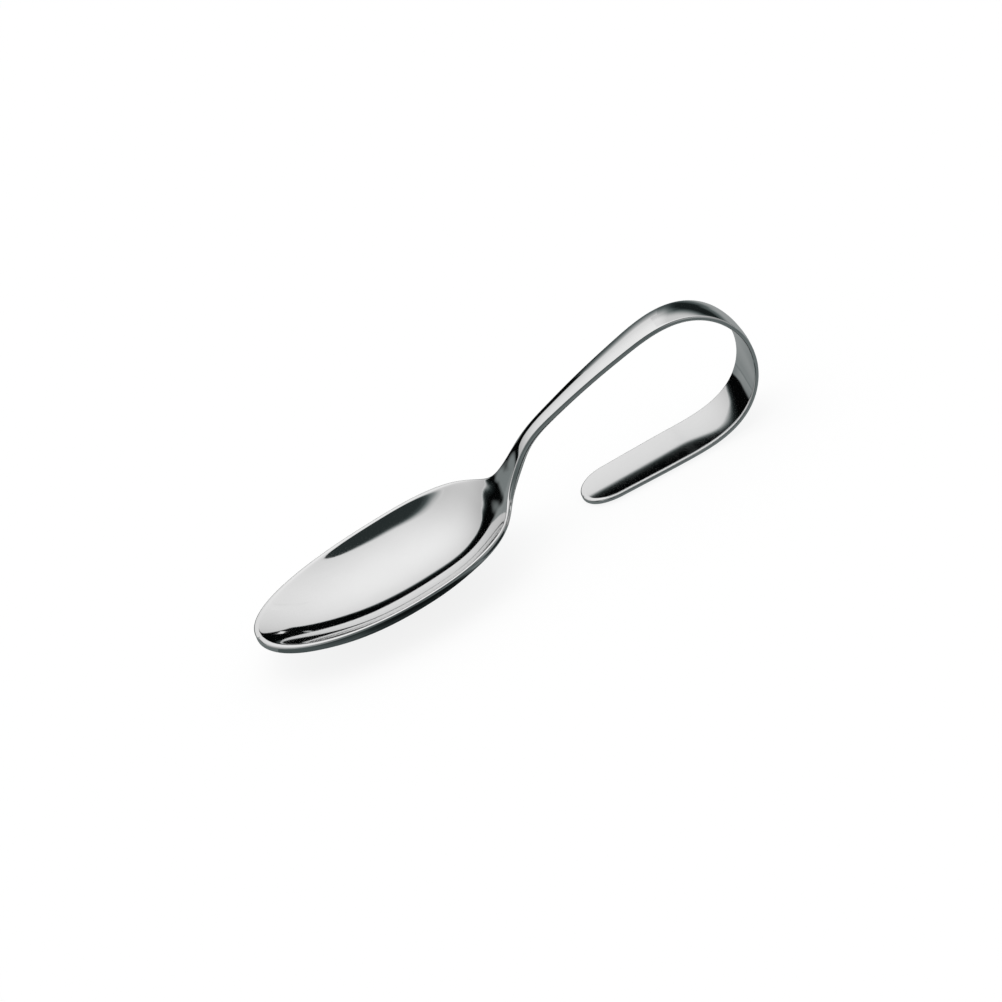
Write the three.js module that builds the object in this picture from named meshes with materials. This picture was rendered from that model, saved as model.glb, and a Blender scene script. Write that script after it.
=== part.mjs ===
// Bent spoon: one stamped strip of polished steel. An egg-shaped bowl rises through a steep neck into a
// slender handle, which curls over into a finger loop and comes back under itself as a flat foot.
// Millimetres and degrees. +Z is up, +X runs from the bowl's tip to the loop, and the spoon stands on Z = 0.
// The strip is one lofted section carried along a side profile, cut across into its five regions.

import * as THREE from "three";

// Bowl
const BOWL_LENGTH = 58.3;
const BOWL_WIDTH = 39.3;
const BOWL_WIDEST_FROM_TIP = 33.5;
const BOWL_DEPTH = 7.3;
const BOWL_WALL = 1.7;
const OUTLINE_FULLNESS_AT_TIP = 2.08;
const OUTLINE_FULLNESS_AT_NECK = 2.6;
const FLOOR_FULLNESS_AT_TIP = 2.75;
const FLOOR_FULLNESS_AT_NECK = 2.05;
const HOLLOW_FULLNESS_ACROSS = 2.0;
const BACK_FULLNESS_ACROSS = 1.89;
const HOLLOW_RUN_OUT = 1.0;
const HOLLOW_NARROWS_FROM = 0.6;
const RIM_LAND = 1.1;
const RIM_EDGE_AT_TIP = 1.65;
const RIM_EDGE_AT_NECK = 1.2;
const RIM_SLOPE_AT_TIP = -1.7;
const RIM_SLOPE_AT_NECK = 6.0;

// Neck, between the bowl and the handle
const NECK_WIDTH = 4.6;
const NECK_NARROWEST_SHARE = 0.4;
const NECK_FILLET = 4.7;
const NECK_THICKNESS = 2.5;
const NECK_EDGE = 1.1;
const NECK_CROWN = 0.8;
const NECK_BEND_BEFORE_BOWL_END = 4.2;
const NECK_BEND_LENGTH = 9.6;
const NECK_STRAIGHT = 0.4;
const SHOULDER_BEND_LENGTH = 15.9;

// Handle, between the shoulder and the loop
const HANDLE_LENGTH = 18.1;
const HANDLE_WIDTH = 6.1;
const HANDLE_THICKNESS = 1.6;
const HANDLE_CROWN = 0.5;
const HANDLE_SLOPE_AT_SHOULDER = 18.0;
const HANDLE_SLOPE_AT_LOOP = 13.4;

// Finger loop and the tail that comes back under it
const LOOP_RADIUS = 14.2;
const LOOP_WIDTH = 10.9;
const TAIL_LENGTH = 22.7;
const TAIL_WIDTH = 14.8;
const TAIL_END_WIDTH = 13.7;
const TAIL_ROUND_LENGTH = 6.9;
const TAIL_THICKNESS = 1.15;
const TAIL_CROWN = 0.45;
const TAIL_FOOT_WIDTH = 2.6;

// Edges of the strip
const STRIP_EDGE = 0.9;
const EDGE_ROUND = 0.35;
const LARGEST_ROUND_SHARE = 1 / 3;
const LEAST_FACE_SHARE = 0.75;

// Share of each bend over which its curvature eases in, and out again
const RIM_EASING = 0.2;
const NECK_EASING = 0.45;
const HANDLE_EASING = 0.2;
const LOOP_EASING = 0.25;

// Fineness of the faceted surface
const SPINE_STEP = 0.1;
const BOWL_STATIONS = 46;
const NECK_STATIONS = 16;
const HANDLE_STATIONS = 12;
const LOOP_STATIONS = 34;
const TAIL_STATIONS = 20;
const POINTS_ACROSS = 13;
const BLUNT_END = 0.02;

// Search for the slope of the neck
const STEEPEST_NECK = 88;
const SEARCH_STEP = 0.5;
const SEARCH_HALVINGS = 30;

const { clamp, degToRad, lerp, smoothstep } = THREE.MathUtils;

// Places along the strip, measured along it from the bowl's tip
const NECK_BEND_START = BOWL_LENGTH - NECK_BEND_BEFORE_BOWL_END;
const SHOULDER_START = NECK_BEND_START + NECK_BEND_LENGTH + NECK_STRAIGHT;
const HANDLE_START = SHOULDER_START + SHOULDER_BEND_LENGTH;
const LOOP_START = HANDLE_START + HANDLE_LENGTH;
const LOOP_TURN = 180 + HANDLE_SLOPE_AT_LOOP;
const LOOP_LENGTH = (LOOP_RADIUS * degToRad(LOOP_TURN)) / (1 - LOOP_EASING);
const TAIL_START = LOOP_START + LOOP_LENGTH;
const TAIL_END = TAIL_START + TAIL_LENGTH;

// Share of a bend that is turned at x, from 0 to 1: the curvature eases in and out over the share `soft`.
function turned(x, soft) {
  const t = clamp(x, 0, 1);
  const rate = 1 / (1 - soft);
  if (t < soft) return (rate * t * t) / (2 * soft);
  if (t > 1 - soft) return 1 - (rate * (1 - t) ** 2) / (2 * soft);
  return rate * (t - soft / 2);
}

// Smooth curve through a few stations [place, value], level at the first and the last.
function through(stations, place) {
  const last = stations.length - 1;
  if (place <= stations[0][0]) return stations[0][1];
  if (place >= stations[last][0]) return stations[last][1];
  const i = stations.findIndex((station) => station[0] > place) - 1;
  const rise = (k) => (stations[k + 1][1] - stations[k][1]) / (stations[k + 1][0] - stations[k][0]);
  const slope = (k) => {
    if (k === 0 || k === last) return 0;
    const product = rise(k - 1) * rise(k);
    return product > 0 ? (2 * product) / (rise(k - 1) + rise(k)) : 0;
  };
  const span = stations[i + 1][0] - stations[i][0];
  const t = (place - stations[i][0]) / span;
  const level = lerp(stations[i][1], stations[i + 1][1], t * t * (3 - 2 * t));
  const tangents = t * (1 - t) ** 2 * slope(i) - t * t * (1 - t) * slope(i + 1);
  return level + span * tangents;
}

// Side profile of the strip's face line, as points and headings along it, for a given slope of the neck.
function sideProfile(neckSlope) {
  const bends = [
    [0, NECK_BEND_START, RIM_SLOPE_AT_NECK - RIM_SLOPE_AT_TIP, RIM_EASING],
    [NECK_BEND_START, NECK_BEND_LENGTH, neckSlope - RIM_SLOPE_AT_NECK, NECK_EASING],
    [SHOULDER_START, SHOULDER_BEND_LENGTH, HANDLE_SLOPE_AT_SHOULDER - neckSlope, NECK_EASING],
    [HANDLE_START, HANDLE_LENGTH, HANDLE_SLOPE_AT_LOOP - HANDLE_SLOPE_AT_SHOULDER, HANDLE_EASING],
    [LOOP_START, LOOP_LENGTH, -LOOP_TURN, LOOP_EASING],
  ];
  const headingAt = (place) => {
    const parts = bends.map(([start, length, turn, soft]) => turn * turned((place - start) / length, soft));
    return degToRad(parts.reduce((sum, part) => sum + part, RIM_SLOPE_AT_TIP));
  };
  const steps = Math.ceil(TAIL_END / SPINE_STEP);
  const step = TAIL_END / steps;
  const points = [new THREE.Vector2(0, 0)];
  for (let i = 0; i < steps; i++) {
    const heading = headingAt((i + 0.5) * step);
    const move = new THREE.Vector2(Math.cos(heading), Math.sin(heading)).multiplyScalar(step);
    points.push(points[i].clone().add(move));
  }
  const pointAt = (place) => {
    const i = clamp(Math.floor(place / step), 0, steps - 1);
    return points[i].clone().lerp(points[i + 1], place / step - i);
  };
  return { headingAt, pointAt };
}

// Value that follows x where x is well above zero and runs out softly to zero below it.
function runOut(x, softness) {
  return (x + Math.hypot(x, softness)) / 2;
}

// Half width of an egg outline at a distance from its tip. Past the neck end it runs out over the fillet.
function eggHalfWidth(fromTip, length, width, widest, fillet) {
  const towardsTip = fromTip < widest;
  const reach = towardsTip ? widest : length - widest;
  const fullness = towardsTip ? OUTLINE_FULLNESS_AT_TIP : OUTLINE_FULLNESS_AT_NECK;
  const share = 1 - (Math.abs(fromTip - widest) / reach) ** fullness;
  const softness = towardsTip ? 0 : (fillet / reach) * smoothstep(fromTip, widest, length);
  return (width / 2) * runOut(share, softness) ** (1 / fullness);
}

// Half width of the strip from the neck on, before its end is rounded off.
function stripHalfWidth(place) {
  const stations = [
    [SHOULDER_START + SHOULDER_BEND_LENGTH * NECK_NARROWEST_SHARE, NECK_WIDTH],
    [HANDLE_START + HANDLE_LENGTH / 2, HANDLE_WIDTH],
    [LOOP_START + LOOP_LENGTH / 2, LOOP_WIDTH],
    [TAIL_START, TAIL_WIDTH],
    [TAIL_END, TAIL_END_WIDTH],
  ];
  return through(stations, place) / 2;
}

// Half width of the whole blank: the egg, filleted into the strip, and the round end of the tail.
function blankHalfWidth(place) {
  if (place < HANDLE_START) {
    const fillet = 1 - smoothstep(place, BOWL_LENGTH, HANDLE_START);
    const egg = fillet * eggHalfWidth(place, BOWL_LENGTH, BOWL_WIDTH, BOWL_WIDEST_FROM_TIP, NECK_FILLET);
    const strip = stripHalfWidth(place) * smoothstep(place, BOWL_WIDEST_FROM_TIP, BOWL_LENGTH);
    return Math.cbrt(egg ** 3 + strip ** 3);
  }
  const roundStart = TAIL_END - TAIL_ROUND_LENGTH;
  const t = clamp((place - roundStart) / TAIL_ROUND_LENGTH, 0, 1);
  return stripHalfWidth(place) * Math.sqrt(1 - t * t);
}

// Half width and depth of the hollow in the bowl, which runs out softly up the neck.
function hollowAt(place) {
  const fromTip = place - RIM_LAND;
  if (fromTip <= 0) return { halfWidth: 0, depth: 0 };
  const length = BOWL_LENGTH - 2 * RIM_LAND;
  const widest = BOWL_WIDEST_FROM_TIP - RIM_LAND;
  const towardsTip = fromTip < widest;
  const reach = towardsTip ? widest : length - widest;
  const fullness = towardsTip ? FLOOR_FULLNESS_AT_TIP : FLOOR_FULLNESS_AT_NECK;
  const floor = BOWL_DEPTH * (1 - (Math.abs(fromTip - widest) / reach) ** fullness);
  const neckwards = smoothstep(place, BOWL_WIDEST_FROM_TIP, BOWL_LENGTH);
  const egg = eggHalfWidth(fromTip, length, BOWL_WIDTH - 2 * RIM_LAND, widest, 0);
  const upTheNeck = blankHalfWidth(place) - RIM_LAND / 2;
  const halfWidth = lerp(egg, upTheNeck, smoothstep(neckwards, HOLLOW_NARROWS_FROM, 1));
  return { halfWidth, depth: runOut(floor, 2 * HOLLOW_RUN_OUT * neckwards) };
}

// Thickness on the middle line, height of the edge, crown of the face and width of the flat on the crown.
function bodyAt(place) {
  const handleMiddle = HANDLE_START + HANDLE_LENGTH / 2;
  return {
    thickness: through(
      [
        [NECK_BEND_START, BOWL_WALL],
        [SHOULDER_START, NECK_THICKNESS],
        [handleMiddle, HANDLE_THICKNESS],
        [TAIL_START, TAIL_THICKNESS],
      ],
      place,
    ),
    edge: through(
      [
        [0, RIM_EDGE_AT_TIP],
        [NECK_BEND_START, RIM_EDGE_AT_NECK],
        [SHOULDER_START, NECK_EDGE],
        [handleMiddle, STRIP_EDGE],
      ],
      place,
    ),
    crown: through(
      [
        [NECK_BEND_START, 0],
        [SHOULDER_START, NECK_CROWN],
        [handleMiddle, HANDLE_CROWN],
        [TAIL_START, TAIL_CROWN],
      ],
      place,
    ),
    flat: through(
      [
        [handleMiddle, 0],
        [TAIL_START, TAIL_FOOT_WIDTH],
      ],
      place,
    ),
  };
}

// Heights of the face and the back at a place along the strip and a distance across it.
function facesAt(place) {
  const half = place < HANDLE_START ? blankHalfWidth(place) : stripHalfWidth(place);
  const hollow = hollowAt(place);
  const { thickness, edge, crown, flat } = bodyAt(place);
  const face = (across) => {
    const fromFlat = Math.max(Math.abs(across) - flat / 2, 0) / (half - flat / 2);
    const inHollow = hollow.halfWidth > 0 ? Math.min(Math.abs(across) / hollow.halfWidth, 1) : 1;
    return crown * (1 - fromFlat ** 2) - hollow.depth * (1 - inHollow ** HOLLOW_FULLNESS_ACROSS);
  };
  const bulge = hollow.depth + thickness - crown - edge;
  const back = (across) => -edge - bulge * (1 - (Math.abs(across) / half) ** BACK_FULLNESS_ACROSS);
  return { face, back, hollow };
}

// Closed section of the strip: the face from one edge to the other, then the back the other way.
function sectionAt(place) {
  const half = blankHalfWidth(place);
  const { face, back, hollow } = facesAt(place);
  const round = Math.min(EDGE_ROUND, half * LARGEST_ROUND_SHARE);
  const inset = half - round;
  const innerEdge = Math.max(Math.min(hollow.halfWidth, inset - round), LEAST_FACE_SHARE * inset);
  const across = [-inset];
  for (let i = 0; i < POINTS_ACROSS; i++) across.push(innerEdge * (-1 + (2 * i) / (POINTS_ACROSS - 1)));
  across.push(inset);
  const faceLine = across.map((y) => [y, face(y)]);
  const backLine = across.map((y) => [y, back(y)]).reverse();
  const upper = face(inset) - round;
  const lower = back(inset) + round;
  return [...faceLine, [half, upper], [half, lower], ...backLine, [-half, lower], [-half, upper]];
}

// Height of the bowl's lowest point over the underside of the tail, for a given slope of the neck.
function bowlHeight(neckSlope) {
  const profile = sideProfile(neckSlope);
  const lowest = (start, end, depthAt) => {
    let low = Infinity;
    for (let place = start; place <= end; place += SEARCH_STEP) {
      const drop = depthAt(place) * Math.cos(profile.headingAt(place));
      low = Math.min(low, profile.pointAt(place).y + drop);
    }
    return low;
  };
  const bowl = lowest(RIM_LAND, BOWL_LENGTH, (place) => facesAt(place).back(0));
  const tail = lowest(TAIL_START, TAIL_END, (place) => facesAt(place).face(0));
  return bowl - tail;
}

// Slope of the neck that brings the bowl down onto the surface that the tail lies on.
function restingNeckSlope() {
  let low = HANDLE_SLOPE_AT_SHOULDER;
  let high = STEEPEST_NECK;
  for (let i = 0; i < SEARCH_HALVINGS; i++) {
    const middle = (low + high) / 2;
    if (bowlHeight(middle) > 0) low = middle;
    else high = middle;
  }
  return (low + high) / 2;
}

const profile = sideProfile(restingNeckSlope());

// Section at a place along the strip, set square to the side profile.
function ringAt(place) {
  const origin = profile.pointAt(place);
  const heading = profile.headingAt(place);
  return sectionAt(place).map(([across, height]) => {
    const x = origin.x - height * Math.sin(heading);
    const z = origin.y + height * Math.cos(heading);
    return new THREE.Vector3(x, across, z);
  });
}

// Closed solid through the sections at the given places.
function loft(places) {
  const rings = places.map(ringAt);
  const count = rings[0].length;
  const vertices = rings.flat().flatMap((point) => point.toArray());
  const faces = [];
  const quad = (a, b, c, d) => faces.push(a, b, c, a, c, d);
  for (let ring = 0; ring < rings.length - 1; ring++) {
    for (let i = 0; i < count; i++) {
      const next = (i + 1) % count;
      const start = ring * count;
      quad(start + i, start + count + i, start + count + next, start + next);
    }
  }
  const acrossCount = POINTS_ACROSS + 2;
  const cap = (start, flip) => {
    const corner = (i) => start + ((i + count) % count);
    const strip = [[corner(-1), corner(-2)]];
    for (let i = 0; i < acrossCount; i++) strip.push([corner(i), corner(count - 3 - i)]);
    strip.push([corner(acrossCount), corner(acrossCount + 1)]);
    for (let i = 0; i < strip.length - 1; i++) {
      const [face, back] = strip[i];
      const [nextFace, nextBack] = strip[i + 1];
      if (flip) quad(face, back, nextBack, nextFace);
      else quad(face, nextFace, nextBack, back);
    }
  };
  cap(0, false);
  cap((rings.length - 1) * count, true);
  const geometry = new THREE.BufferGeometry();
  geometry.setAttribute("position", new THREE.Float32BufferAttribute(vertices, 3));
  geometry.setIndex(faces);
  geometry.computeVertexNormals();
  return geometry;
}

// Places from start to end, evenly spaced, or drawn together towards the ends that are named.
const evenly = (t) => t;
const closerAtBothEnds = (t) => (1 - Math.cos(Math.PI * t)) / 2;
const closerAtEnd = (t) => Math.sin((Math.PI / 2) * t);
function placesBetween(start, end, count, spacing) {
  return Array.from({ length: count + 1 }, (_, i) => lerp(start, end, spacing(i / count)));
}

const polishedSteel = new THREE.MeshStandardMaterial({ color: 0xd4d6d6, metalness: 1, roughness: 0.06 });

function region(name, start, end, count, spacing) {
  const mesh = new THREE.Mesh(loft(placesBetween(start, end, count, spacing)), polishedSteel);
  mesh.name = name;
  return mesh;
}

const spoon = new THREE.Group();
const neckStart = BOWL_LENGTH + NECK_STRAIGHT;
spoon.add(region("bowl", BLUNT_END, neckStart, BOWL_STATIONS, closerAtBothEnds));
spoon.add(region("neck", neckStart, HANDLE_START, NECK_STATIONS, evenly));
spoon.add(region("handle_shank", HANDLE_START, LOOP_START, HANDLE_STATIONS, evenly));
spoon.add(region("finger_loop", LOOP_START, TAIL_START, LOOP_STATIONS, evenly));
spoon.add(region("handle_tail", TAIL_START, TAIL_END - BLUNT_END, TAIL_STATIONS, closerAtEnd));

// The origin is below the middle of the spoon's length, on the surface that it stands on.
const box = new THREE.Box3().setFromObject(spoon);
spoon.position.set(-(box.min.x + box.max.x) / 2, 0, -box.min.z);

const bentSpoon = new THREE.Group();
bentSpoon.add(spoon);

export default bentSpoon;
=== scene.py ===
# A bent spoon of polished steel: its finished surface, its material, the floor, the studio and the camera.
import math

import bpy
import numpy as np
from mathutils import Matrix, Vector


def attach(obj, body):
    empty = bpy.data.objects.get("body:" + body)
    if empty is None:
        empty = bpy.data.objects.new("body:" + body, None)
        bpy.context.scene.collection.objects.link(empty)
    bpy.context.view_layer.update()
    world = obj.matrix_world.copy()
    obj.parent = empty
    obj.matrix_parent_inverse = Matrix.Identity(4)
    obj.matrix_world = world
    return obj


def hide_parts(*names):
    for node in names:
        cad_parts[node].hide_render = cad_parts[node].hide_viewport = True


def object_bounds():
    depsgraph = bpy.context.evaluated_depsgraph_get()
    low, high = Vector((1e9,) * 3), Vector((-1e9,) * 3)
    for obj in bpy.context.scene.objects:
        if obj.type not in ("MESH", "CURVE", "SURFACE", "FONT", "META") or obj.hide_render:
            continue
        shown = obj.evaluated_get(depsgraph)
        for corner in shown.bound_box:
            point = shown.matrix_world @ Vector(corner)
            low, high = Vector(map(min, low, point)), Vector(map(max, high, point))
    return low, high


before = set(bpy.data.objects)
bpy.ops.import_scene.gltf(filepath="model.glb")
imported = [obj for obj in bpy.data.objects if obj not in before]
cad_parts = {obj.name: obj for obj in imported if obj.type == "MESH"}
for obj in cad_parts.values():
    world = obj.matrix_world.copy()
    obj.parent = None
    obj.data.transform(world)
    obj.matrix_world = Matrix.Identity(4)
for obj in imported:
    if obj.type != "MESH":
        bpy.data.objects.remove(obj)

CAD_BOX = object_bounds()
METRES_PER_MM = 0.001

# Sizes of the spoon in millimetres, and angles in degrees
BOWL_LENGTH = 58.3
BOWL_WIDTH = 39.3
BOWL_WIDEST_FROM_TIP = 33.5
BOWL_DEPTH = 7.3
BOWL_WALL = 1.7
HOLLOW_DEPTH = 6.6
HOLLOW_DEEPEST_FROM_TIP = 37.1
OUTLINE_FULLNESS_AT_TIP = 2.08
OUTLINE_FULLNESS_AT_NECK = 2.6
FLOOR_FULLNESS_AT_TIP = 2.4
FLOOR_FULLNESS_AT_NECK = 3.15
HOLLOW_FULLNESS = [[0, 1.7], [25, 2.075], [40, 2.075], [58, 2.14]]
HOLLOW_EDGE_ROUND = 0.15
HOLLOW_EDGE_FULL_AT = 2.0
BACK_FULLNESS_AT_TIP = 2.75
BACK_FULLNESS_AT_NECK = 2.05
BACK_FULLNESS_ACROSS = 1.89
HOLLOW_RUN_OUT = 1.0
HOLLOW_NARROWS_FROM = 0.6
RIM_LAND = 1.1
HOLLOW_LAND = 0.75
RIM_EDGE_AT_TIP = 1.65
RIM_EDGE_AT_NECK = 1.2
RIM_SLOPE_AT_TIP = -1.7
RIM_SLOPE_AT_NECK = 6.0
NECK_WIDTH = 4.6
NECK_FILLET = 4.7
NECK_NARROWEST_SHARE = 0.43
NECK_THICKNESS = 2.5
NECK_EDGE = 1.1
NECK_CROWN = 0.4
NECK_CROWN_STARTS = 0.8
NECK_CROWN_FULL = 8.8
NECK_BEND_BEFORE_BOWL_END = 4.2
NECK_BEND_LENGTH = 8.3
NECK_STRAIGHT = 0.9
NECK_LIFT = 0.05
NECK_LIFT_STARTS = 57.5
NECK_LIFT_FULL = 61.5
NECK_LIFT_ENDS = 76
SHOULDER_BEND_LENGTH = 16.7
HANDLE_LENGTH = 18.1
HANDLE_WIDTH = 6.1
HANDLE_THICKNESS = 1.6
HANDLE_CROWN = 0.5
HANDLE_SLOPE_AT_SHOULDER = 18.0
HANDLE_SLOPE_AT_LOOP = 13.4
LOOP_RADIUS = 14.2
LOOP_WIDTH = 10.9
TAIL_LENGTH = 22.7
TAIL_WIDTH = 14.8
TAIL_END_WIDTH = 13.7
TAIL_ROUND_LENGTH = 6.9
TAIL_THICKNESS = 1.15
TAIL_CROWN = 0.45
TAIL_FOOT_WIDTH = 2.6
STRIP_EDGE = 0.9
EDGE_ROUND = 0.3
NEAR_EDGE_ROUND = 0.6
RIM_EASING = 0.2
NECK_EASING = 0.45
HANDLE_EASING = 0.2
LOOP_EASING = 0.25
STEEPEST_NECK = 88

# Limits of the numerical work
SEARCH_HALVINGS = 40
SPINE_STEP = 0.05
SLOPE_STEP = 1e-4
SMALLEST = 1e-6
LEAST_STEEPNESS = 1e-9
FARTHEST_OUTLINE_SHARE = 9
FARTHEST_HOLLOW_SHARE = 1.5

# Places along the middle of the strip, measured from the tip
NECK_BEND_START = BOWL_LENGTH - NECK_BEND_BEFORE_BOWL_END
SHOULDER_START = NECK_BEND_START + NECK_BEND_LENGTH + NECK_STRAIGHT
HANDLE_START = SHOULDER_START + SHOULDER_BEND_LENGTH
HANDLE_MIDDLE = HANDLE_START + HANDLE_LENGTH / 2
LOOP_START = HANDLE_START + HANDLE_LENGTH
LOOP_TURN = 180 + HANDLE_SLOPE_AT_LOOP
LOOP_LENGTH = LOOP_RADIUS * math.radians(LOOP_TURN) / (1 - LOOP_EASING)
TAIL_START = LOOP_START + LOOP_LENGTH
TAIL_END = TAIL_START + TAIL_LENGTH


def turned(share, soft):
    """How much of a bend is done after this share of its length, eased over the soft share at both ends."""
    t = np.clip(share, 0, 1)
    rate = 1 / (1 - soft)
    opening = rate * t * t / (2 * soft)
    closing = 1 - rate * (1 - t) ** 2 / (2 * soft)
    return np.where(t < soft, opening, np.where(t > 1 - soft, closing, rate * (t - soft / 2)))


def smoothstep(value, low, high):
    t = np.clip((value - low) / (high - low), 0, 1)
    return t * t * (3 - 2 * t)


def through(stations, place):
    """A smooth curve through [place, value] stations, level at the first and the last."""
    places, values = np.array(stations, float).T
    rates = np.diff(values) / np.diff(places)
    slopes = np.zeros(len(places))
    product = rates[:-1] * rates[1:]
    rising = product > 0
    slopes[1:-1][rising] = (2 * product / (rates[:-1] + rates[1:] + (~rising)))[rising]
    left = np.clip(np.searchsorted(places, place, side="right") - 1, 0, len(places) - 2)
    reach = places[left + 1] - places[left]
    t = np.clip((place - places[left]) / reach, 0, 1)
    level = values[left] + (values[left + 1] - values[left]) * t * t * (3 - 2 * t)
    return level + reach * (t * (1 - t) ** 2 * slopes[left] - t * t * (1 - t) * slopes[left + 1])


def run_out(value, softness):
    """The value where it is well above zero, and a soft approach to zero below."""
    return (value + np.hypot(value, softness)) / 2


def egg_half_width(from_tip, length, width, widest, fillet):
    towards_tip = from_tip < widest
    reach = np.where(towards_tip, widest, length - widest)
    fullness = np.where(towards_tip, OUTLINE_FULLNESS_AT_TIP, OUTLINE_FULLNESS_AT_NECK)
    share = 1 - np.minimum(np.abs(from_tip - widest) / reach, FARTHEST_OUTLINE_SHARE) ** fullness
    softness = np.where(towards_tip, 0, fillet / reach) * smoothstep(from_tip, widest, length)
    return width / 2 * np.maximum(run_out(share, softness), 0) ** (1 / fullness)


def strip_half_width(place):
    return through([
        [SHOULDER_START + SHOULDER_BEND_LENGTH * NECK_NARROWEST_SHARE, NECK_WIDTH],
        [HANDLE_MIDDLE, HANDLE_WIDTH],
        [LOOP_START + LOOP_LENGTH / 2, LOOP_WIDTH],
        [TAIL_START, TAIL_WIDTH],
        [TAIL_END, TAIL_END_WIDTH],
    ], place) / 2


def full_half_width(place):
    """Half the width without the rounding of the tail's end."""
    fillet_left = 1 - smoothstep(place, BOWL_LENGTH, HANDLE_START)
    egg = fillet_left * egg_half_width(place, BOWL_LENGTH, BOWL_WIDTH, BOWL_WIDEST_FROM_TIP, NECK_FILLET)
    strip = strip_half_width(place) * smoothstep(place, BOWL_WIDEST_FROM_TIP, BOWL_LENGTH)
    return np.where(place < HANDLE_START, np.cbrt(egg ** 3 + strip ** 3), strip_half_width(place))


def half_width(place):
    into_round = np.clip((place - TAIL_END + TAIL_ROUND_LENGTH) / TAIL_ROUND_LENGTH, 0, 1)
    return full_half_width(place) * np.sqrt(1 - into_round ** 2)


def sag(place, depth, deepest, at_tip, at_neck):
    """How far a lengthwise curve of the bowl hangs below the rim, running out softly into the neck."""
    length = BOWL_LENGTH - 2 * RIM_LAND
    from_tip = place - RIM_LAND
    towards_tip = from_tip < deepest
    reach = np.where(towards_tip, deepest, length - deepest)
    hang = depth * (1 - (np.abs(from_tip - deepest) / reach) ** np.where(towards_tip, at_tip, at_neck))
    neckwards = smoothstep(place, BOWL_WIDEST_FROM_TIP, BOWL_LENGTH)
    return np.where(from_tip > 0, run_out(hang, 2 * HOLLOW_RUN_OUT * neckwards), 0)


def hollow_half_width(place):
    from_tip = place - RIM_LAND
    widest = BOWL_WIDEST_FROM_TIP - RIM_LAND
    inner = egg_half_width(from_tip, BOWL_LENGTH - 2 * RIM_LAND, BOWL_WIDTH - 2 * HOLLOW_LAND, widest, 0)
    neckwards = smoothstep(place, BOWL_WIDEST_FROM_TIP, BOWL_LENGTH)
    narrowing = smoothstep(neckwards, HOLLOW_NARROWS_FROM, 1)
    wide = inner * (1 - narrowing) + (full_half_width(place) - RIM_LAND / 2) * narrowing
    return np.where(from_tip > 0, wide, 0)


def hollow(place, across):
    """Depth of the bowl's hollow, with a rounded lip."""
    deep = sag(place, HOLLOW_DEPTH, HOLLOW_DEEPEST_FROM_TIP - RIM_LAND,
               FLOOR_FULLNESS_AT_TIP, FLOOR_FULLNESS_AT_NECK)
    share = np.minimum(np.abs(across) / np.maximum(hollow_half_width(place), SMALLEST), FARTHEST_HOLLOW_SHARE)
    lip = HOLLOW_EDGE_ROUND * np.clip(deep / HOLLOW_EDGE_FULL_AT, 0, 1)
    return run_out(deep * (1 - share ** through(HOLLOW_FULLNESS, place)), lip) * (deep > 0)


def section(place):
    """Thickness, edge height, crown and width of the flat foot at a place along the strip."""
    thickness = through([[NECK_BEND_START, BOWL_WALL], [SHOULDER_START, NECK_THICKNESS],
                         [HANDLE_MIDDLE, HANDLE_THICKNESS], [TAIL_START, TAIL_THICKNESS]], place)
    edge = through([[0, RIM_EDGE_AT_TIP], [NECK_BEND_START, RIM_EDGE_AT_NECK],
                    [SHOULDER_START, NECK_EDGE], [HANDLE_MIDDLE, STRIP_EDGE]], place)
    crown = through([[SHOULDER_START + NECK_CROWN_STARTS, 0], [SHOULDER_START + NECK_CROWN_FULL, NECK_CROWN],
                     [HANDLE_MIDDLE, HANDLE_CROWN], [TAIL_START, TAIL_CROWN]], place)
    flat = through([[HANDLE_MIDDLE, 0], [TAIL_START, TAIL_FOOT_WIDTH]], place)
    return thickness, edge, crown, flat


def face_and_back(place, across):
    """Heights of the two broad surfaces above the spine, before the edges are rounded."""
    half = np.maximum(full_half_width(place), SMALLEST)
    depth = sag(place, BOWL_DEPTH, BOWL_WIDEST_FROM_TIP - RIM_LAND,
                BACK_FULLNESS_AT_TIP, BACK_FULLNESS_AT_NECK)
    thickness, edge, crown, flat = section(place)
    from_flat = np.maximum(np.abs(across) - flat / 2, 0) / np.maximum(half - flat / 2, SMALLEST)
    face = crown * (1 - from_flat ** 2) - hollow(place, across)
    back = -edge - (depth + thickness - crown - edge) * (1 - np.abs(across / half) ** BACK_FULLNESS_ACROSS)
    return face, back


def heading(place, neck_slope):
    """The direction of the strip's middle line in radians, up from level."""
    bends = [
        [0, NECK_BEND_START, RIM_SLOPE_AT_NECK - RIM_SLOPE_AT_TIP, RIM_EASING],
        [NECK_BEND_START, NECK_BEND_LENGTH, neck_slope - RIM_SLOPE_AT_NECK, NECK_EASING],
        [SHOULDER_START, SHOULDER_BEND_LENGTH, HANDLE_SLOPE_AT_SHOULDER - neck_slope, NECK_EASING],
        [HANDLE_START, HANDLE_LENGTH, HANDLE_SLOPE_AT_LOOP - HANDLE_SLOPE_AT_SHOULDER, HANDLE_EASING],
        [LOOP_START, LOOP_LENGTH, -LOOP_TURN, LOOP_EASING],
    ]
    degrees = RIM_SLOPE_AT_TIP
    for start, length, turn, soft in bends:
        degrees = degrees + turn * turned((place - start) / length, soft)
    return np.radians(degrees)


def spine(neck_slope):
    """Points of the strip's middle line, with the tail's underside level on the floor."""
    steps = math.ceil(TAIL_END / SPINE_STEP)
    step = TAIL_END / steps
    direction = heading((np.arange(steps) + 0.5) * step, neck_slope)
    x = np.concatenate([[0], np.cumsum(np.cos(direction) * step)])
    z = np.concatenate([[0], np.cumsum(np.sin(direction) * step)])
    return np.arange(steps + 1) * step, x, z - z[-1] + TAIL_CROWN


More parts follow.
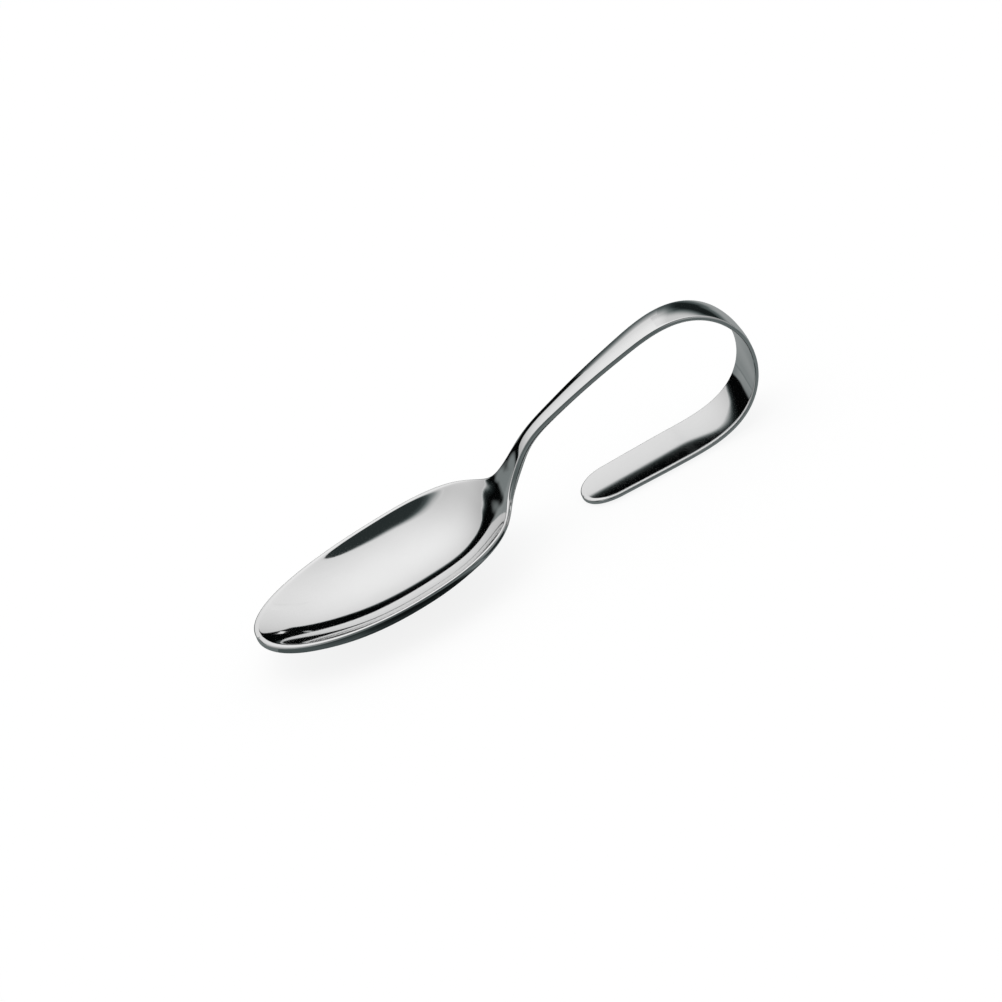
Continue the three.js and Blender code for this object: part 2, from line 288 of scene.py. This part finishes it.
def resting_neck_slope():
    """The slope at which the bowl's lowest point reaches the floor that the tail lies on."""
    bowl = np.arange(RIM_LAND, BOWL_LENGTH, SPINE_STEP)
    back = face_and_back(bowl, 0 * bowl)[1]
    low, high = HANDLE_SLOPE_AT_SHOULDER, STEEPEST_NECK
    for halving in range(SEARCH_HALVINGS):
        middle = (low + high) / 2
        places, x, z = spine(middle)
        lowest = (np.interp(bowl, places, z) + back * np.cos(heading(bowl, middle))).min()
        low, high = (middle, high) if lowest > 0 else (low, middle)
    return (low + high) / 2


# The spoon's surface as one closed mesh
TIP_ZONE = 4.0
TIP_STATIONS = 34
END_STATIONS = 26
STATION_STEP = 0.45
POINTS_ACROSS = 85
EVEN_SHARE = 0.1
LAND_POINTS = 4
LIP_SHARE_LEAST = 0.3
LIP_SHARE_MOST = 0.97
ROUND_POINTS = 10
EDGE_POINTS = 3
LARGEST_ROUND_SHARE = 0.45
ROUND_WIDTH_SHARE = 0.6
RIM_ROUND_STRETCH = 1.6
TAIL_ROUND_STRETCH = 2.2


def station_places():
    tip = TIP_ZONE * np.linspace(0, 1, TIP_STATIONS + 1)[1:] ** 2
    end = TAIL_END - TAIL_ROUND_LENGTH * np.linspace(1, 0, END_STATIONS + 1)[:-1] ** 2
    steps = math.ceil((end[0] - tip[-1]) / STATION_STEP)
    middle = np.linspace(tip[-1], end[0], steps + 1)[1:-1]
    return np.concatenate([tip, middle, end])


def outline_slope(place):
    return (half_width(place + SLOPE_STEP) - half_width(place - SLOPE_STEP)) / (2 * SLOPE_STEP)


def distance_inside(place, across, half):
    """About how far a point lies inside the outline, exact at the edge."""
    slope = outline_slope(np.clip(place, SLOPE_STEP, TAIL_END - SLOPE_STEP))
    power = np.where(place < BOWL_WIDEST_FROM_TIP, OUTLINE_FULLNESS_AT_TIP, 2)
    reach = np.abs(across)
    gap = half ** power - reach ** power
    steepness = power * np.hypot(half ** (power - 1) * slope, reach ** (power - 1))
    return np.maximum(gap, 0) / np.maximum(steepness, LEAST_STEEPNESS)


def rounded_drop(distance, radius):
    """How far a rounded edge falls below the surface at a distance inside the outline."""
    left = np.clip(radius - distance, 0, radius)
    return radius - np.sqrt(radius ** 2 - left ** 2)


def spoon_rows():
    """Closed loops of points round the strip, one for each station: places along and across, and heights.

    The upper edge on the -Y side is rounder than the other edges, as the photograph shows it. It is the
    face's edge on the bowl and the handle, and the back's edge on the tail, where the strip lies face down.
    """
    places = station_places()
    half = half_width(places)
    slope = outline_slope(places)
    largest = section(places)[1] * LARGEST_ROUND_SHARE
    round_near = np.minimum(NEAR_EDGE_ROUND, largest)
    round_far = np.minimum(EDGE_ROUND, largest)
    stretch = through([[BOWL_WIDEST_FROM_TIP, RIM_ROUND_STRETCH], [BOWL_LENGTH, 1], [LOOP_START, 1],
                       [TAIL_START, TAIL_ROUND_STRETCH]], places)
    turn = np.linspace(0, 1, ROUND_POINTS + 1)[1:] * math.pi / 2
    lips = []
    rims = []
    for width in (round_near * stretch, round_far):
        round_width = np.minimum(width * np.hypot(1, slope), ROUND_WIDTH_SHARE * half)
        flat_half = half - round_width
        lip = flat_half * np.clip(hollow_half_width(places) / flat_half, LIP_SHARE_LEAST, LIP_SHARE_MOST)
        land = lip[:, None] + (flat_half - lip)[:, None] * np.linspace(0, 1, LAND_POINTS + 1)[None, 1:]
        outer = half[:, None] - round_width[:, None] * (1 - np.sin(turn))[None, :]
        lips.append(lip[:, None])
        rims.append(np.concatenate([land, outer], axis=1))
    even = np.linspace(-1, 1, POINTS_ACROSS)[None, :]
    spread = EVEN_SHARE * even + (1 - EVEN_SHARE) * np.sin(even * math.pi / 2)
    inner = np.where(spread < 0, lips[0], lips[1]) * spread
    across = np.concatenate([-rims[0][:, ::-1], inner, rims[1]], axis=1)
    along = np.repeat(places[:, None], across.shape[1], axis=1)
    face, back = face_and_back(along, across)
    inside = distance_inside(along, across, half[:, None])
    near = across < 0
    upside_down = smoothstep(places, LOOP_START, TAIL_START)
    drops = []
    for share in (1 - upside_down, upside_down):
        radius = round_far + (round_near - round_far) * share
        widened = 1 + (stretch - 1) * share
        drops.append(np.where(near, rounded_drop(inside / widened[:, None], radius[:, None]),
                              rounded_drop(inside, round_far[:, None])))
    lift = NECK_LIFT * smoothstep(places, NECK_LIFT_STARTS, NECK_LIFT_FULL)
    lift = lift * (1 - smoothstep(places, NECK_LIFT_FULL, NECK_LIFT_ENDS))
    face = face - drops[0] + lift[:, None]
    back = back + drops[1]
    rise = np.linspace(1, 0, EDGE_POINTS + 2)[None, 1:-1]
    far_edge = back[:, -1:] + (face - back)[:, -1:] * rise
    near_edge = back[:, :1] + (face - back)[:, :1] * rise[:, ::-1]
    side = np.repeat(half[:, None], EDGE_POINTS, axis=1)
    edge_along = np.repeat(places[:, None], EDGE_POINTS, axis=1)
    loop_along = np.concatenate([along, edge_along, along, edge_along], axis=1)
    loop_across = np.concatenate([across, side, across[:, ::-1], -side], axis=1)
    loop_height = np.concatenate([face, far_edge, back[:, ::-1], near_edge], axis=1)
    return loop_along, loop_across, loop_height


def placed(along, across, height):
    """Points of the spoon in metres, resting on the floor and centred on the frame."""
    slope = resting_neck_slope()
    places, x, z = spine(slope)
    direction = heading(along, slope)
    points = np.stack([
        np.interp(along, places, x) - height * np.sin(direction),
        across,
        np.interp(along, places, z) + height * np.cos(direction),
    ], axis=-1) * METRES_PER_MM
    points[..., 0] += CAD_BOX[0][0] - points[..., 0].min()
    return points


def build_spoon():
    along, across, height = spoon_rows()
    points = placed(along, across, height)
    rows, count = along.shape
    ends = np.array([points[0].mean(axis=0), points[-1].mean(axis=0)])
    vertices = np.concatenate([points.reshape(-1, 3), ends])
    first, last = rows * count, rows * count + 1
    faces = []
    for row in range(rows - 1):
        for k in range(count):
            following = (k + 1) % count
            faces.append((row * count + k, (row + 1) * count + k,
                          (row + 1) * count + following, row * count + following))
    for k in range(count):
        following = (k + 1) % count
        faces.append((first, k, following))
        faces.append((last, (rows - 1) * count + following, (rows - 1) * count + k))
    mesh = bpy.data.meshes.new("spoon")
    mesh.from_pydata(vertices.tolist(), [], faces)
    mesh.validate()
    for name, values, at_ends in (("along", along, (0, TAIL_END)), ("across", across, (0, 0))):
        layer = mesh.attributes.new(name, "FLOAT", "POINT")
        layer.data.foreach_set("value", np.concatenate([values.ravel(), at_ends]).astype(np.float32))
    mesh.shade_smooth()
    spoon = bpy.data.objects.new("spoon", mesh)
    bpy.context.scene.collection.objects.link(spoon)
    return spoon


# Materials
FLOOR_LIT = 0.25
FLOOR_GLOW = 0.855
FLOOR_ROUGHNESS = 0.9
STEEL_DULL = (0.785, 0.785, 0.785, 1)
STEEL_BRIGHT = (0.845, 0.845, 0.845, 1)
LINES_ALONG = 0.12
LINES_ACROSS = 5.0
LINES_DETAIL = 4
CLOUDS = 0.22
CLOUDS_DETAIL = 3
TINT_SHARE = 0.5
LEAST_ROUGHNESS = 0.02
LINES_ROUGHNESS = 0.025
CLOUDS_ROUGHNESS = 0.035
BUMP_UNIT = 1e-6
LINES_HEIGHT = 0.15
CLOUDS_HEIGHT = 1.5
DARK_TINT = 0.28
DARK_TINT_FALL = 4


def new_material(name):
    material = bpy.data.materials.new(name)
    material.use_nodes = True
    return material, material.node_tree.nodes, material.node_tree.links


def grain(nodes, links, along_rate, across_rate, detail):
    """Noise on the strip's own places along and across, in cycles per millimetre."""
    place = nodes.new("ShaderNodeCombineXYZ")
    for axis, name, rate in (("X", "along", along_rate), ("Y", "across", across_rate)):
        layer = nodes.new("ShaderNodeAttribute")
        layer.attribute_name = name
        scaled = nodes.new("ShaderNodeMath")
        scaled.operation = "MULTIPLY"
        scaled.inputs[1].default_value = rate
        links.new(layer.outputs["Fac"], scaled.inputs[0])
        links.new(scaled.outputs["Value"], place.inputs[axis])
    noise = nodes.new("ShaderNodeTexNoise")
    noise.inputs["Scale"].default_value = 1
    noise.inputs["Detail"].default_value = detail
    links.new(place.outputs["Vector"], noise.inputs["Vector"])
    return noise.outputs["Fac"]


def weighed(nodes, links, first, first_weight, second, second_weight, offset):
    """A weighed sum of two patterns on top of an offset."""
    total = None
    for pattern, weight in ((first, first_weight), (second, second_weight)):
        step = nodes.new("ShaderNodeMath")
        step.operation = "MULTIPLY_ADD"
        step.inputs[1].default_value = weight
        step.inputs[2].default_value = offset
        links.new(pattern, step.inputs[0])
        if total is not None:
            links.new(total, step.inputs[2])
        total = step.outputs["Value"]
    return total


def steel():
    """Mirror polish: fine lines along the strip, and a slow unevenness of gloss, form and brightness."""
    material, nodes, links = new_material("polished_steel")
    shader = nodes["Principled BSDF"]
    shader.inputs["Metallic"].default_value = 1
    lines = grain(nodes, links, LINES_ALONG, LINES_ACROSS, LINES_DETAIL)
    clouds = grain(nodes, links, CLOUDS, CLOUDS, CLOUDS_DETAIL)
    tint = nodes.new("ShaderNodeMix")
    tint.data_type = "RGBA"
    tint.inputs["A"].default_value = STEEL_DULL
    tint.inputs["B"].default_value = STEEL_BRIGHT
    links.new(weighed(nodes, links, lines, TINT_SHARE, clouds, TINT_SHARE, 0), tint.inputs["Factor"])
    links.new(tint.outputs["Result"], shader.inputs["Base Color"])
    gloss = weighed(nodes, links, lines, LINES_ROUGHNESS, clouds, CLOUDS_ROUGHNESS, LEAST_ROUGHNESS)
    links.new(gloss, shader.inputs["Roughness"])
    bump = nodes.new("ShaderNodeBump")
    bump.inputs["Distance"].default_value = BUMP_UNIT
    links.new(weighed(nodes, links, lines, LINES_HEIGHT, clouds, CLOUDS_HEIGHT, 0), bump.inputs["Height"])
    links.new(bump.outputs["Normal"], shader.inputs["Normal"])
    return material


def floor_material():
    material, nodes = new_material("pale_floor")[:2]
    shader = nodes["Principled BSDF"]
    shader.inputs["Base Color"].default_value = (FLOOR_LIT, FLOOR_LIT, FLOOR_LIT, 1)
    shader.inputs["Roughness"].default_value = FLOOR_ROUGHNESS
    shader.inputs["Specular IOR Level"].default_value = 0
    shader.inputs["Emission Color"].default_value = (1, 1, 1, 1)
    shader.inputs["Emission Strength"].default_value = FLOOR_GLOW
    return material


def card_material():
    """A glow whose level is written on the card's own points."""
    material, nodes, links = new_material("studio_card")
    nodes.clear()
    level = nodes.new("ShaderNodeAttribute")
    level.attribute_name = "level"
    glow = nodes.new("ShaderNodeEmission")
    links.new(level.outputs["Color"], glow.inputs["Color"])
    out = nodes.new("ShaderNodeOutputMaterial")
    links.new(glow.outputs["Emission"], out.inputs["Surface"])
    return material


def flat_mesh(name, points, faces, material):
    mesh = bpy.data.meshes.new(name)
    mesh.from_pydata([tuple(METRES_PER_MM * c for c in point) for point in points], [], faces)
    mesh.materials.append(material)
    sheet = bpy.data.objects.new(name, mesh)
    bpy.context.scene.collection.objects.link(sheet)
    return sheet


def shade(level):
    """The slightly cyan grey of the studio's dark side, neutral where it is light."""
    return (level * (1 - DARK_TINT * (1 - level) ** DARK_TINT_FALL), level, level)


def card(name, rows, levels):
    """A studio card that only the steel mirrors: rows of points, and the glow at each point."""
    count = len(rows[0])
    faces = [(r * count + k, r * count + k + 1, (r + 1) * count + k + 1, (r + 1) * count + k)
             for r in range(len(rows) - 1) for k in range(count - 1)]
    sheet = flat_mesh(name, [point for row in rows for point in row], faces, CARD_GLOW)
    layer = sheet.data.attributes.new("level", "FLOAT_COLOR", "POINT")
    layer.data.foreach_set("color", [c for row in levels for level in row for c in (*shade(level), 1)])
    sheet.visible_camera = False
    sheet.visible_diffuse = False
    sheet.visible_transmission = False
    sheet.visible_shadow = False
    return sheet


CARD_GLOW = card_material()
spoon = build_spoon()
spoon.data.materials.append(steel())
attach(spoon, "root")
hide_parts("bowl", "neck", "handle_shank", "finger_loop", "handle_tail")

# Floor
FLOOR_HALF = 4000
floor_corners = [(FLOOR_HALF * x, FLOOR_HALF * y, 0) for x, y in ((-1, -1), (1, -1), (1, 1), (-1, 1))]
flat_mesh("floor", floor_corners, [range(4)], floor_material())

# Studio: a broad soft light above and behind the spoon, and cards that the steel mirrors
LIGHT_AZIMUTH = math.radians(8)
LIGHT_ELEVATION = math.radians(60)
LIGHT_FALL = 1.27
LIGHT_LEAST = 0.35
light_way = (math.sin(LIGHT_AZIMUTH) * math.cos(LIGHT_ELEVATION),
             math.cos(LIGHT_AZIMUTH) * math.cos(LIGHT_ELEVATION), math.sin(LIGHT_ELEVATION))
world = bpy.data.worlds.new("studio")
world.use_nodes = True
sky = world.node_tree.nodes
way = sky.new("ShaderNodeTexCoord")
towards = sky.new("ShaderNodeVectorMath")
towards.operation = "DOT_PRODUCT"
towards.inputs[1].default_value = light_way
fall = sky.new("ShaderNodeMapRange")
fall.inputs["From Min"].default_value = 1 - (1 - LIGHT_LEAST) / LIGHT_FALL
fall.inputs["From Max"].default_value = 1
fall.inputs["To Min"].default_value = LIGHT_LEAST
fall.inputs["To Max"].default_value = 1
world.node_tree.links.new(way.outputs["Generated"], towards.inputs[0])
world.node_tree.links.new(towards.outputs["Value"], fall.inputs["Value"])
world.node_tree.links.new(fall.outputs["Result"], sky["Background"].inputs["Strength"])
sky["Background"].inputs["Color"].default_value = (1, 1, 1, 1)
bpy.context.scene.world = world

FAR = 300
BLACK = 0.001


def upright(columns, heights, y):
    """Rows of points on an upright plane, each row a list of heights, one for each column."""
    return [[(x, y, z) for x, z in zip(columns, row)] for row in heights]


def level_rows(columns, heights):
    """The same height in each column, for each of the heights."""
    return [[z] * len(columns) for z in heights]


def lying(columns, rows, z):
    """Rows of points on a level plane."""
    return [[(x, y, z) for x in columns] for y in rows]


# Dark wall behind, under the light
WALL_COLUMNS = [-450, -250, -233, -223, -215, -200, -184, -165, -137, -95, -10, 40, 111, 115]
WALL_TOP = [167, 163, 152, 145, 138, 129, 120, 115, 122, 139, 149, 157, 170, 170.7]
WALL_SOFT = [0.8, 0.8, 0.8, 0.8, 0.9, 0.9, 0.8, 0.7, 0.6, 0.8, 1.2, 0.5, 0.4, 0.4]
WALL_BELOW_TOP = [30, 16, 10, 5, 0, -7]
WALL_LEVELS = [BLACK, 0.01, 0.025, 0.1, 0.35, 0.85]
WALL_END_LEVEL = 0.85
wall_rows = [[0] * len(WALL_COLUMNS)]
for below in WALL_BELOW_TOP:
    wall_rows.append([z - below * soft for z, soft in zip(WALL_TOP, WALL_SOFT)])
wall_levels = [[level] * (len(WALL_COLUMNS) - 1) + [WALL_END_LEVEL] for level in [BLACK] + WALL_LEVELS]
card("far_wall", upright(WALL_COLUMNS, wall_rows, FAR), wall_levels)

# Table behind, seen below the wall
FOOT_COLUMNS = [-3000, -207, -192, -183, -171, -157, -148, -140, -133, -124, -60, 0, 3000]
FOOT_GREY = [93, 93, 83, 74, 68, 60, 54, 47, 41, 36, 27, 6, 20]
FOOT_TOP = [106, 106, 95, 86, 81, 73, 67, 60, 52, 48, 45, 24, 45]
FOOT_LOW_LEVELS = [0.24] * 7 + [0.25, 0.3, 0.32, 0.3, 0.13, 0.13]
FOOT_GREY_LEVELS = [0.23] * 7 + [0.23, 0.27, 0.28, 0.2, 0.1, 0.1]
far_foot_rows = [[0] * len(FOOT_COLUMNS), FOOT_GREY, FOOT_TOP]
far_foot_levels = [FOOT_LOW_LEVELS, FOOT_GREY_LEVELS, [BLACK] * len(FOOT_COLUMNS)]
card("far_foot", upright(FOOT_COLUMNS, far_foot_rows, FAR - 1), far_foot_levels)

# Nearer dark wall with soft edges, which the top of the loop mirrors
SIDE_AT = 120
SIDE_COLUMNS = np.linspace(55.5, 195.5, 15).tolist()
SIDE_HEIGHTS = np.linspace(12, 192, 16).tolist()
SIDE_DARK_STARTS = (66, 94)
SIDE_DARK_ENDS = (165, 215)
SIDE_DARK_BELOW = (60, 150)
SIDE_LIGHT_RISES = (40, 125)
SIDE_LIGHT_FALLS = (64, 90)
SIDE_TABLE_ENDS = (14, 38)
SIDE_GREY = 0.1
SIDE_LIGHT = 0.78
SIDE_LIGHT_FALL = 0.18
SIDE_LEAST = 0.014
SIDE_TABLE = 0.13


def side_level(x, z):
    """The nearer wall's glow: dark low in the middle, light above and at the left, grey by the table."""
    in_columns = smoothstep(x, *SIDE_DARK_STARTS) * (1 - smoothstep(x, *SIDE_DARK_ENDS))
    dark = in_columns * (1 - smoothstep(z, *SIDE_DARK_BELOW))
    lightest = SIDE_LIGHT - SIDE_LIGHT_FALL * smoothstep(x, *SIDE_LIGHT_FALLS)
    light = SIDE_GREY + lightest * smoothstep(z, *SIDE_LIGHT_RISES)
    table = SIDE_LEAST + SIDE_TABLE * (1 - smoothstep(z, *SIDE_TABLE_ENDS))
    return max(float(light * (1 - dark)), float(table))


card("side_wall", upright(SIDE_COLUMNS, level_rows(SIDE_COLUMNS, SIDE_HEIGHTS), SIDE_AT),
     [[side_level(x, z) for x in SIDE_COLUMNS] for z in SIDE_HEIGHTS])

# Small grey card behind the handle, which lightens its far edge
HANDLE_CARD_AT = 40
HANDLE_CARD_COLUMNS = [21, 27, 52]
HANDLE_CARD_HEIGHTS = [31, 36, 41, 46, 49]
HANDLE_CARD_LEVELS = [[0.03, 0.09, 0.14], [0.05, 0.11, 0.15], [0.25, 0.27, 0.33],
                      [0.6, 0.55, 0.55], [0.8, 0.75, 0.75]]
handle_card_rows = level_rows(HANDLE_CARD_COLUMNS, HANDLE_CARD_HEIGHTS)
card("handle_card", upright(HANDLE_CARD_COLUMNS, handle_card_rows, HANDLE_CARD_AT), HANDLE_CARD_LEVELS)

# Two small lamps in front of the wall, which glint in the bowl's tip
LAMP_SIDE = (11, 12)
LAMP_RISE = (17, 38)
LAMPS = [["lamp_one", 80, 87, 1, 0.9], ["lamp_two", 45, 51, 0.7, 0.4]]


def lamp_row(x, z, size, rise):
    """The two lower or the two upper corners of a slanting lamp, whose lowest corner is at x and z."""
    return [(x + size * (across * LAMP_SIDE[0] + rise * LAMP_RISE[0]), FAR - 2,
             z + size * (across * LAMP_SIDE[1] + rise * LAMP_RISE[1])) for across in (0, 1)]


for name, x, z, size, level in LAMPS:
    card(name, [lamp_row(x, z, size, rise) for rise in (0, 1)], [[level] * 2] * 2)

# Dark room on the camera's side, fading upwards and to the left into the light
FRONT_AZIMUTH = math.radians(-5.3)
FRONT_NEAR = 100
FRONT_HALF = 3000
ROOM_LEFT = 450
ROOM_TOP = 3500
ROOM_LEAN = 3.5
ROOM_RINGS = [0.02, 0.55, 0.75, 0.95, 1.3, 2.0, 3.5]
ROOM_LEVELS = [0.03, 0.03, 0.08, 0.25, 0.5, 0.65, 0.72]
ROOM_RIGHT_SIDES = (FRONT_HALF, FRONT_HALF / 3, 0)
ROOM_LEFT_TURNS = np.radians([67.5, 45, 22.5, 0])
front_way = Vector((math.sin(FRONT_AZIMUTH), -math.cos(FRONT_AZIMUTH), 0))
front_side = Vector((math.cos(FRONT_AZIMUTH), math.sin(FRONT_AZIMUTH), 0))


def front_point(near, side, z):
    return tuple(front_way * near + front_side * side + Vector((0, 0, z)))


room_rows = []
for ring in ROOM_RINGS:
    lean = ROOM_LEAN if ring > ROOM_RINGS[0] else 0
    top = ring * ROOM_TOP
    left = ring * ROOM_LEFT
    row = [front_point(FRONT_NEAR, side, top + lean * side) for side in ROOM_RIGHT_SIDES]
    for turn in ROOM_LEFT_TURNS:
        row.append(front_point(FRONT_NEAR, -left * math.cos(turn), top * math.sin(turn)))
    room_rows.append(row)
card("front_room", room_rows, [[level] * len(room_rows[0]) for level in ROOM_LEVELS])

# Lighter lower part of that room, which the spoon's edges and its other sides mirror
FRONT_SIDES = [-FRONT_HALF, -150, -60, -45, -22, -8, 30, 45, 100, FRONT_HALF]
FRONT_HEIGHTS = [(0, 0), (30, 0), (60, 0.3), (160, 0.6), (240, 0.7)]
FRONT_LOW = [0.2, 0.1, 0.05, 0.008, 0.008, 0.16, 0.16, 0.09, 0.15, 0.25]
FRONT_HIGH = [0.4, 0.35, 0.13, 0.12, 0.12, 0.12, 0.13, 0.14, 0.35, 0.4]
FRONT_TOP_LEVEL = 0.03
front_foot_rows = [[front_point(FRONT_NEAR - 1, side, z + slope * abs(side)) for side in FRONT_SIDES]
                   for z, slope in FRONT_HEIGHTS]
front_foot_levels = [FRONT_LOW] * 2 + [FRONT_HIGH] * 2 + [[FRONT_TOP_LEVEL] * len(FRONT_SIDES)]
card("front_foot", front_foot_rows, front_foot_levels)

# Table round the spoon, with two dark patches on it, in front of the bowl and of the neck
TABLE_HEIGHT = 0.02
FRONT_TABLE_HEIGHT = 0.03
NECK_TABLE_HEIGHT = 0.04
TABLE_COLUMNS = [-3000, -300, 26, 50, 300, 3000]
TABLE_ROWS = [-1000, -70, -45, -12, 15, 32, 90, 200, FAR - 2]
TABLE_LEFT = [0.1, 0.13, 0.18, 0.18, 0.18, 0.26, 0.27, 0.2, 0.2]
TABLE_RIGHT = [0.08, 0.13, 0.18, 0.18, 0.18, 0.34, 0.36, 0.2, 0.2]
card("table", lying(TABLE_COLUMNS, TABLE_ROWS, TABLE_HEIGHT),
     [[left] * 3 + [right] * 3 for left, right in zip(TABLE_LEFT, TABLE_RIGHT)])
DARK_COLUMNS = [-100, -48, -38, -20, -14, -6]
DARK_ROWS = [-98, -36, -22, -2]
DARK_LEVELS = [[0.02, 0.02, 0.005, 0.005, 0.005, 0.1], [0.02, 0.02, 0.006, 0.006, 0.006, 0.1],
               [0.09, 0.09, 0.03, 0.01, 0.01, 0.1], [0.09, 0.09, 0.03, 0.01, 0.01, 0.1]]
card("front_table", lying(DARK_COLUMNS, DARK_ROWS, FRONT_TABLE_HEIGHT), DARK_LEVELS)
NECK_TABLE_COLUMNS = [2, 8, 36, 46]
NECK_TABLE_ROWS = [-36, -11]
NECK_TABLE_LEVELS = [0.1, 0.015, 0.015, 0.1]
card("neck_table", lying(NECK_TABLE_COLUMNS, NECK_TABLE_ROWS, NECK_TABLE_HEIGHT), [NECK_TABLE_LEVELS] * 2)

# Camera at the photograph's angle
AZIMUTH = math.radians(-7.649)
ELEVATION = math.radians(29.177)
ROLL = math.radians(25.102)
PIXELS_PER_MM = 4.809
FRAME_PIXELS = 1002
ORIGIN_PIXEL = (523.394, 534.37)
CAMERA_DISTANCE = 8000
SENSOR = 36
CLIP_START = 0.1
CLIP_END = 100

right = Vector((math.cos(AZIMUTH), math.sin(AZIMUTH), 0))
up = Vector((-math.sin(AZIMUTH) * math.sin(ELEVATION), math.cos(AZIMUTH) * math.sin(ELEVATION),
             math.cos(ELEVATION)))
camera_x = math.cos(ROLL) * right - math.sin(ROLL) * up
camera_y = math.sin(ROLL) * right + math.cos(ROLL) * up
camera_back = camera_x.cross(camera_y)
pixels_right = FRAME_PIXELS / 2 - ORIGIN_PIXEL[0]
pixels_up = ORIGIN_PIXEL[1] - FRAME_PIXELS / 2
middle = (camera_x * pixels_right + camera_y * pixels_up) / PIXELS_PER_MM
camera = bpy.data.objects.new("camera", bpy.data.cameras.new("camera"))
bpy.context.scene.collection.objects.link(camera)
camera.data.sensor_width = SENSOR
camera.data.sensor_height = SENSOR
camera.data.sensor_fit = "HORIZONTAL"
camera.data.lens = SENSOR * CAMERA_DISTANCE * PIXELS_PER_MM / FRAME_PIXELS
camera.data.clip_start = CLIP_START
camera.data.clip_end = CLIP_END
place = Matrix.Translation((middle + camera_back * CAMERA_DISTANCE) * METRES_PER_MM)
camera.matrix_world = place @ Matrix((camera_x, camera_y, camera_back)).transposed().to_4x4()
bpy.context.scene.camera = camera
bpy.context.scene.view_settings.view_transform = "Standard"
